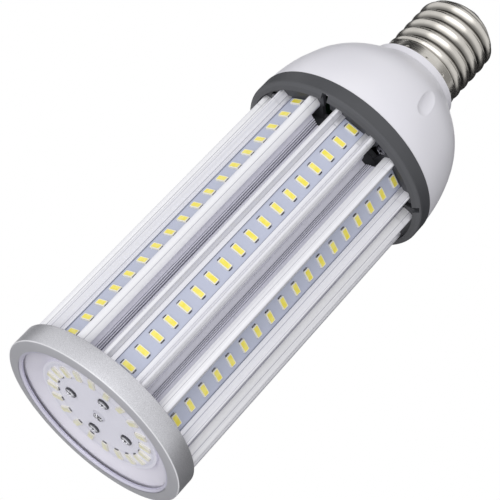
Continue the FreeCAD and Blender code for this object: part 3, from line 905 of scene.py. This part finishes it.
white_plastic = surface("satin_white_plastic", satin_moulding)
side = dome_side(0, outer_rows)
neck = rounded([
    side[-1],
    (neck_radius + neck_step, neck_foot),
    (neck_radius, neck_foot),
    (neck_radius, shell_low.z),
    (base_spigot, shell_low.z),
], np.array([0, 0.3, 0.15, 0.3, 0]) * MM)
outside = np.concatenate([side, neck[1:]])
inside = dome_side(dome_wall, inner_rows)[::-1]
rest = np.concatenate([
    [
        (base_spigot, dome_high.z),
        (base_bore, dome_high.z),
        (base_bore, inside[0, 1] + inside[0, 0] - base_bore),
    ],
    inside,
    [
        (spigot_radius - dome_wall, dome_front + dome_wall),
        (spigot_radius - dome_wall, dome_low.z),
        (spigot_radius, dome_low.z),
        (spigot_radius, dome_front),
    ],
])
columns = dome_columns()
dome_grid = np.concatenate([
    gripped(outside, columns, spun(outside, columns)),
    spun(rest, columns),
])
dome_faces = grid_faces(*dome_grid.shape[:2], True)
dome = piece("white_dome", dome_grid, dome_faces, [white_plastic])
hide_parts("driver_housing")

# Screw shell: the threaded cap of the mogul base, rolled from nickel-plated brass sheet. Its
# skirt is pushed over the neck and staked into it with a row of punched dents.
thread_crest = 19.5 * MM
thread_root = 17.8 * MM
thread_pitch = 6.35 * MM
thread_turn = np.radians(66.5)
thread_low = shell_low.z + 5.6 * MM
thread_high = shell_high.z - 3.0 * MM
thread_run_in = 0.35 * thread_pitch
thread_run_out = 0.4 * thread_pitch
shell_wall = 0.5 * MM
shell_mouth = thread_root - shell_wall - 3.0 * MM
shell_columns = 216
skirt_rows, thread_rows = 24, 136
skirt_radius = shell_high.x
DENTS = 12
DENT_STEP = 2 * np.pi / DENTS
dent_height = shell_low.z + 1.8 * MM
dent_radius, dent_depth = 0.8 * MM, 0.55 * MM


def eased(value, low, high):
    """0 below low, 1 above high, and the cubic 3t^2 - 2t^3 between them."""
    share = np.clip((value - low) / (high - low), 0, 1)
    return share * share * (3 - 2 * share)


def threaded(heights, turn):
    """The shell's outer radius: the thread is root plus a raised cosine of height / pitch less
    the turn, eased in from the skirt and out to the end; each dent is a small raised cosine."""
    height = heights[:, None]
    phase = 2 * np.pi * (height - thread_low) / thread_pitch - (turn[None, :] - thread_turn)
    wave = 0.5 + 0.5 * np.cos(phase)
    ridge = thread_root + (thread_crest - thread_root) * wave ** 0.8
    skirt = np.interp(height, [shell_low.z, thread_low], [skirt_radius, thread_crest])
    start = eased(height, thread_low, thread_low + thread_run_in)
    radius = skirt * (1 - start) + ridge * start
    finish = eased(height, thread_high - thread_run_out, thread_high)
    radius = radius * (1 - finish) + thread_root * finish
    sideways = radius * ((turn[None, :] - FIRST_STRIP + DENT_STEP / 2) % DENT_STEP - DENT_STEP / 2)
    distance = np.hypot(sideways, height - dent_height) / dent_radius
    return radius - dent_depth * np.where(distance < 1, 0.5 + 0.5 * np.cos(np.pi * distance), 0)


def nickel(place):
    """Nickel plate, a little warm, with drawing lines round it, cloudy patches, and painted shade in
    the thread's grooves and the punched dents."""
    height = place.axes()[2]
    radius = place.radius()
    sideways = radius * place.turn_from(FIRST_STRIP, DENT_STEP)
    above = height - dent_height
    dent = 1 - ((sideways * sideways + above * above) ** 0.5).between(0.2 * MM, 0.6 * MM)
    groove_shade = 1 - radius.between(thread_root, thread_root + 1.2 * MM)
    groove_shade = groove_shade * (1 - height.between(thread_high - 1.0 * MM, thread_high))
    cloud = place.noise((160, 160, 260), 3)
    lines = place.noise((60, 60, 3800), 2)
    colour = cloud.mix(tint(214, 211, 205), tint(182, 178, 172))
    # Painted shade: the thread's grooves are coloured dark.
    colour = (groove_shade * 0.85).mix(colour, tint(84, 82, 78))
    # Painted shade: the punched dents are coloured dark.
    colour = (dent * 0.8).mix(colour, tint(60, 58, 54))
    return {
        "Base Color": colour,
        "Roughness": 0.16 + cloud * 0.1 + lines * 0.1,
        "Normal": lines.bump(0.06, 0.00005),
    }


shell_turn = even_turns(shell_columns)
shell_heights = np.concatenate([
    np.linspace(shell_low.z, thread_low, skirt_rows)[:-1],
    np.linspace(thread_low, thread_high, thread_rows),
])
shell_radius = threaded(shell_heights, shell_turn)
rolled = np.stack(np.broadcast_arrays(
    shell_radius * np.cos(shell_turn),
    shell_radius * np.sin(shell_turn),
    shell_heights[:, None],
), -1)
end = rounded([
    (thread_root, thread_high),
    (shell_mouth + shell_wall, shell_high.z),
    (shell_mouth, shell_high.z),
], np.array([0, 0.4, 0]) * MM)
bore = [
    (shell_mouth, shell_high.z - shell_wall),
    (thread_root - shell_wall, thread_high - shell_wall),
    (thread_root - shell_wall, shell_low.z),
]
shell_grid = np.concatenate([rolled, spun(np.concatenate([end[1:], bore]), shell_turn)])
shell_faces = grid_faces(*shell_grid.shape[:2], True)
nickel_plate = surface("nickel_plate", nickel, Metallic=1.0)
shell = piece("threaded_shell", shell_grid, shell_faces, [nickel_plate], crease=50)
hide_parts("screw_shell")

# Base insulator and centre contact: a disc of black glass is fused into the shell's end, and
# the live lead comes through it to a button of solder.
glass_low, glass_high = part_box("base_insulator")
button_low, button_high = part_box("centre_contact")
button_radius = button_high.x
stem_radius = 3.0 * MM
base_columns = 96
button_rows = 12


def black_glass(place):
    """Black glass with a slight ripple."""
    ripple = place.noise((300, 300, 300), 2)
    colour = ripple.mix(tint(20, 20, 24), tint(38, 37, 44))
    return {"Base Color": colour, "Roughness": 0.12 + ripple * 0.12}


def contact_solder(place):
    """Solder that set with a slightly wrinkled skin."""
    skin = place.noise((700, 700, 700), 3)
    colour = skin.mix(tint(196, 196, 200), tint(150, 150, 156))
    return {"Base Color": colour, "Roughness": 0.22 + skin * 0.2, "Normal": skin.bump(0.2, 0.00015)}


glass_path = rounded([
    (stem_radius, glass_low.z),
    (shell_mouth, glass_low.z),
    (shell_mouth, shell_high.z),
    (button_radius, glass_high.z),
    (stem_radius, glass_high.z),
], np.array([0.2, 0.2, 0.8, 0.8, 0.2]) * MM, closed=True)
glass_finish = surface("black_glass", black_glass)
glass = turned("black_glass_disc", glass_path, base_columns, glass_finish, True)
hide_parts("base_insulator")
swell = np.linspace(0, np.pi / 2, button_rows)
button_rise = button_high.z - glass_high.z
button_path = np.concatenate([
    [
        (0, button_low.z),
        (stem_radius, button_low.z),
        (stem_radius, glass_high.z),
        (button_radius, glass_high.z),
    ],
    np.stack([button_radius * np.cos(swell), glass_high.z + button_rise * np.sin(swell)], 1),
])
button_finish = surface("contact_solder", contact_solder, Metallic=0.9)
button = turned("solder_button", button_path, base_columns, button_finish)
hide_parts("centre_contact")

# Driver and leads: a laminate board stands on edge in the dome and carries the transformer,
# capacitors and fuse. Sleeved leads run from it to the base and to the front board.


def plain_finish(name, first, second, roughness):
    """A finish that is mottled between two colours."""
    def mottled(place):
        patch = place.noise((500, 500, 500), 2)
        return {"Base Color": patch.mix(first, second), "Roughness": roughness + patch * 0.15}
    return surface(name, mottled)


dress(plain_finish("green_laminate", tint(38, 92, 58), tint(52, 112, 72), 0.4), "driver_board")
dress(plain_finish("ferrite", tint(58, 56, 58), tint(78, 76, 78), 0.55), "transformer_core", "choke")
dress(plain_finish("yellow_tape", tint(226, 190, 60), tint(238, 206, 90), 0.35), "transformer_winding")
capacitor_sleeve = plain_finish("capacitor_sleeve", tint(28, 32, 48), tint(40, 44, 62), 0.3)
dress(capacitor_sleeve, "bulk_capacitor", "output_capacitor")
dress(plain_finish("film_case", tint(199, 76, 41), tint(212, 92, 54), 0.4), "film_capacitor")
dress(plain_finish("black_epoxy", tint(24, 24, 26), tint(36, 36, 38), 0.45), "rectifier", "transistor")
dress(plain_finish("fuse_sleeve", tint(140, 102, 61), tint(156, 118, 76), 0.3), "fuse")
red_sleeve = plain_finish("red_sleeve", tint(176, 34, 30), tint(192, 48, 42), 0.4)
dress(red_sleeve, "base_lead_live", "front_leads")
dress(plain_finish("black_sleeve", tint(26, 26, 28), tint(38, 38, 40), 0.4), "base_lead_neutral")

# Floor, light and camera: a pale floor that is seen only from above, a soft white room, one
# large lamp in front, cards that only reflections see, and a long lens set below the rim.
floor_half = 3.0
floor_tint = tint(240, 240, 243)
middle = Vector((0, 0, 0.13))
key_place = Vector((-0.22, -1.03, -0.45))
key_side = Vector((-0.23, -0.83, -0.51))
camera_place = Vector((87.63, -692.24, -229.79)) * MM
camera_aim = Vector((-1.27, -0.16, 103.89)) * MM
camera_roll = np.radians(43.157)


def stage_sheet(name, points, finish):
    """A flat sheet of the stage, which throws neither light nor shade on the bulb."""
    mesh = bpy.data.meshes.new(name)
    mesh.from_pydata(points.tolist(), [], [[0, 1, 2, 3]])
    mesh.materials.append(finish)
    sheet = in_scene(name, mesh)
    sheet.visible_diffuse = False
    sheet.visible_transmission = False
    sheet.visible_shadow = False
    return sheet


def light_table(place):
    """Pale and matt, with a very faint mottle."""
    mottle = place.noise((3, 3, 3), 2)
    return {"Base Color": mottle.mix(floor_tint, tint(246, 246, 248)), "Roughness": 0.8}


# The floor is faintly lit from within, and a camera below it sees through it.
pale_floor = surface("pale_floor", light_table, Emission_Color=floor_tint, Emission_Strength=0.3)
tree = pale_floor.node_tree
upper = Wire(tree, tree.nodes["Principled BSDF"].outputs["BSDF"])
behind = upper.add("NewGeometry", None, None, "Backfacing")
clear = upper.add("BsdfTransparent")
either = upper.add("MixShader", None, {0: behind, 1: upper, 2: clear})
tree.links.new(either.socket, tree.nodes["Material Output"].inputs["Surface"])
square = np.array([(-1, -1, 0), (1, -1, 0), (1, 1, 0), (-1, 1, 0)])
floor = stage_sheet("floor", square * floor_half, pale_floor)
floor.visible_glossy = False

world = bpy.data.worlds.new("white_room")
bpy.context.scene.world = world
world.use_nodes = True
room = world.node_tree
ray = room.nodes.new("ShaderNodeLightPath").outputs
direct = Wire(room, ray["Is Camera Ray"])
glossy = Wire(room, ray["Is Glossy Ray"])
through = Wire(room, ray["Is Transmission Ray"])
seen = direct.maths("MAXIMUM", direct.maths("MAXIMUM", direct, glossy), through)
towards = direct.add("TexCoord", None, None, "Generated")
facing_key = towards.add(
    "VectorMath", {"operation": "DOT_PRODUCT"}, {0: towards, 1: key_side}, "Value",
)
# What is seen of the room is white, and the light that it throws is weaker away from the lamp.
ambient = 0.22 + 0.6 * facing_key.between(-1.0, 1.0)
background = room.nodes["Background"]
background.inputs["Color"].default_value = (1, 1, 1, 1)
room.links.new((ambient + seen * (1 - ambient)).socket, background.inputs["Strength"])

key_light = bpy.data.lights.new("key_lamp", "AREA")
key_light.size = 1.3
key_light.energy = 7.6
key_lamp = in_scene("key_lamp", key_light)
key_lamp.location = key_place
key_lamp.rotation_mode = "QUATERNION"
key_lamp.rotation_quaternion = (middle - key_place).to_track_quat("-Z", "Y")
key_lamp.visible_camera = False


def card(name, turn, rise, distance, width, height, finish):
    """A card that faces the bulb's middle from a distance, at a turn and a rise in degrees.
    Only reflections see it, and it gives bright metal its darker bands."""
    turn, rise = np.radians([turn, rise])
    out = np.array([np.cos(rise) * np.cos(turn), np.cos(rise) * np.sin(turn), np.sin(rise)])
    across = np.array([-np.sin(turn), np.cos(turn), 0])
    up = np.cross(out, across)
    points = np.array(middle) + distance * out
    points = points + square[:, :1] * width / 2 * across + square[:, 1:2] * height / 2 * up
    stage_sheet(name, points, finish).visible_camera = False


black_card = plain_finish("black_card", tint(24, 24, 26), tint(32, 32, 34), 0.8)
grey_card = plain_finish("grey_card", tint(176, 175, 172), tint(184, 183, 180), 0.8)
card("right_card", 46, 20, 2.0, 4.0, 2.4, black_card)
card("left_card", 138, 20, 2.0, 1.2, 2.4, black_card)
card("roof_card", 98, 66, 2.0, 2.2, 1.0, black_card)
card("low_card", 97, -26, 1.5, 1.2, 0.9, black_card)
# The last two stand near and high, where only the screw shell's wall mirrors them.
card("high_right_card", -20, 45, 1.2, 0.9, 0.7, grey_card)
card("high_left_card", -158, 45, 1.2, 1.0, 0.7, black_card)

camera = in_scene("camera", bpy.data.cameras.new("camera"))
camera.data.sensor_width = 36.0
camera.data.lens = 131.37
camera.location = camera_place
camera.rotation_mode = "QUATERNION"
facing = (camera_aim - camera_place).to_track_quat("-Z", "Y")
camera.rotation_quaternion = facing @ Quaternion((0, 0, 1), camera_roll)
camera.data.clip_start, camera.data.clip_end = 0.01, 20.0
bpy.context.scene.camera = camera
bpy.context.scene.view_settings.view_transform = "Standard"
